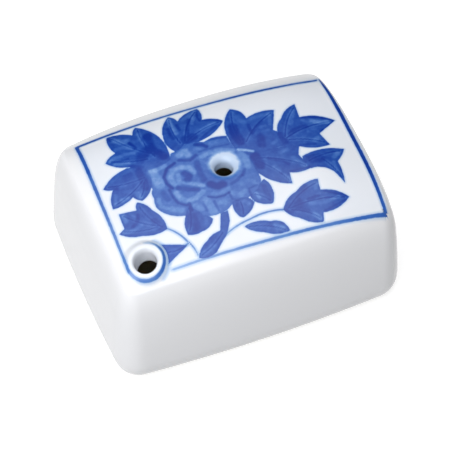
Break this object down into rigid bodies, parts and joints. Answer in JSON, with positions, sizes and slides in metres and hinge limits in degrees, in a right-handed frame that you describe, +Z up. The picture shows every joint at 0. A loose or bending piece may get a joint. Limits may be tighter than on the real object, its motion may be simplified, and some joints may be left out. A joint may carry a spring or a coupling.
{
  "type": "calligraphy water dropper",
  "caption": "Hollow glazed porcelain block with a domed top, an air hole in the middle, a lipped pour hole in one corner and a blue peony spray in a frame.",
  "frame": {"origin": "on the table, under the middle of the block", "axes": "+X along the length, with the pour hole at the -X end, +Y from the front to the back, +Z up"},
  "size_m": [0.06, 0.0456, 0.0301],
  "materials": {
    "biscuit": "matt unglazed porcelain",
    "glaze": "glossy clear glaze over white porcelain",
    "cobalt_dark": "glossy dark cobalt blue",
    "cobalt_pale": "glossy pale cobalt blue wash"
  },
  "bodies": {
    "root": {"upper_casting": "biscuit", "base_slab": "biscuit", "slip_seam": "biscuit", "glaze_coat": "glaze", "base_glaze": "glaze", "border_print": "cobalt_dark", "line_print": "cobalt_dark", "petal_wash": "cobalt_pale", "leaf_wash": "cobalt_dark"}
  },
  "joints": []
}
